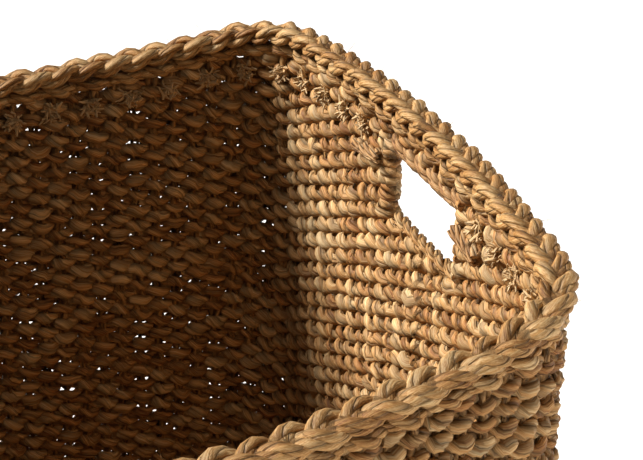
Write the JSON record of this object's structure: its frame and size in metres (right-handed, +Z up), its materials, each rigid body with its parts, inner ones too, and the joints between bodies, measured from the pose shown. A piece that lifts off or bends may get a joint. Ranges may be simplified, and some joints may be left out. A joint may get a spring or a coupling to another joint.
{
  "type": "woven laundry basket",
  "caption": "Rectangular laundry basket woven of twisted leaf cord over upright stakes, with a scooped braided rim and a hand hole in each raised end.",
  "frame": {"origin": "middle of the basket's plan, on the surface it stands on", "axes": "+X along the basket to the right end wall, +Y across it to the back wall, +Z up"},
  "size_m": [0.59, 0.506, 0.437],
  "materials": {
    "leaf_cord": "dry twisted leaf cord, golden straw with paler and browner lengths",
    "leaf_braid": "dry leaf strands, flattened and braided",
    "stake": "stiff bundles of dry leaf, browner than the cord",
    "cut_end": "cut and frayed ends of leaf cord",
    "grip_wrap": "leaf strands wound side by side"
  },
  "bodies": {
    "root": {"base_edge_rope": "leaf_braid", "base_weave": "leaf_cord", "base_sticks": "stake", "weave_band_01": "leaf_cord", "weave_band_02": "leaf_cord", "weave_band_03": "leaf_cord", "weave_band_04": "leaf_cord", "weave_band_05": "leaf_cord", "weave_band_06": "leaf_cord", "weave_band_07": "leaf_cord", "weave_band_08": "leaf_cord", "weave_band_09": "leaf_cord", "weave_band_10": "leaf_cord", "left_front_corner_weave": "leaf_cord", "left_back_corner_weave": "leaf_cord", "right_front_corner_weave": "leaf_cord", "right_back_corner_weave": "leaf_cord", "left_handle_arch_weave": "leaf_cord", "right_handle_arch_weave": "leaf_cord", "front_wall_stakes": "stake", "back_wall_stakes": "stake", "left_end_stakes": "stake", "right_end_stakes": "stake", "rim_braid": "leaf_braid", "rim_lock_row": "leaf_cord", "tucked_stake_ends": "cut_end", "left_handle_grip": "grip_wrap", "right_handle_grip": "grip_wrap", "left_handle_sill": "leaf_braid", "right_handle_sill": "leaf_braid"}
  },
  "joints": []
}
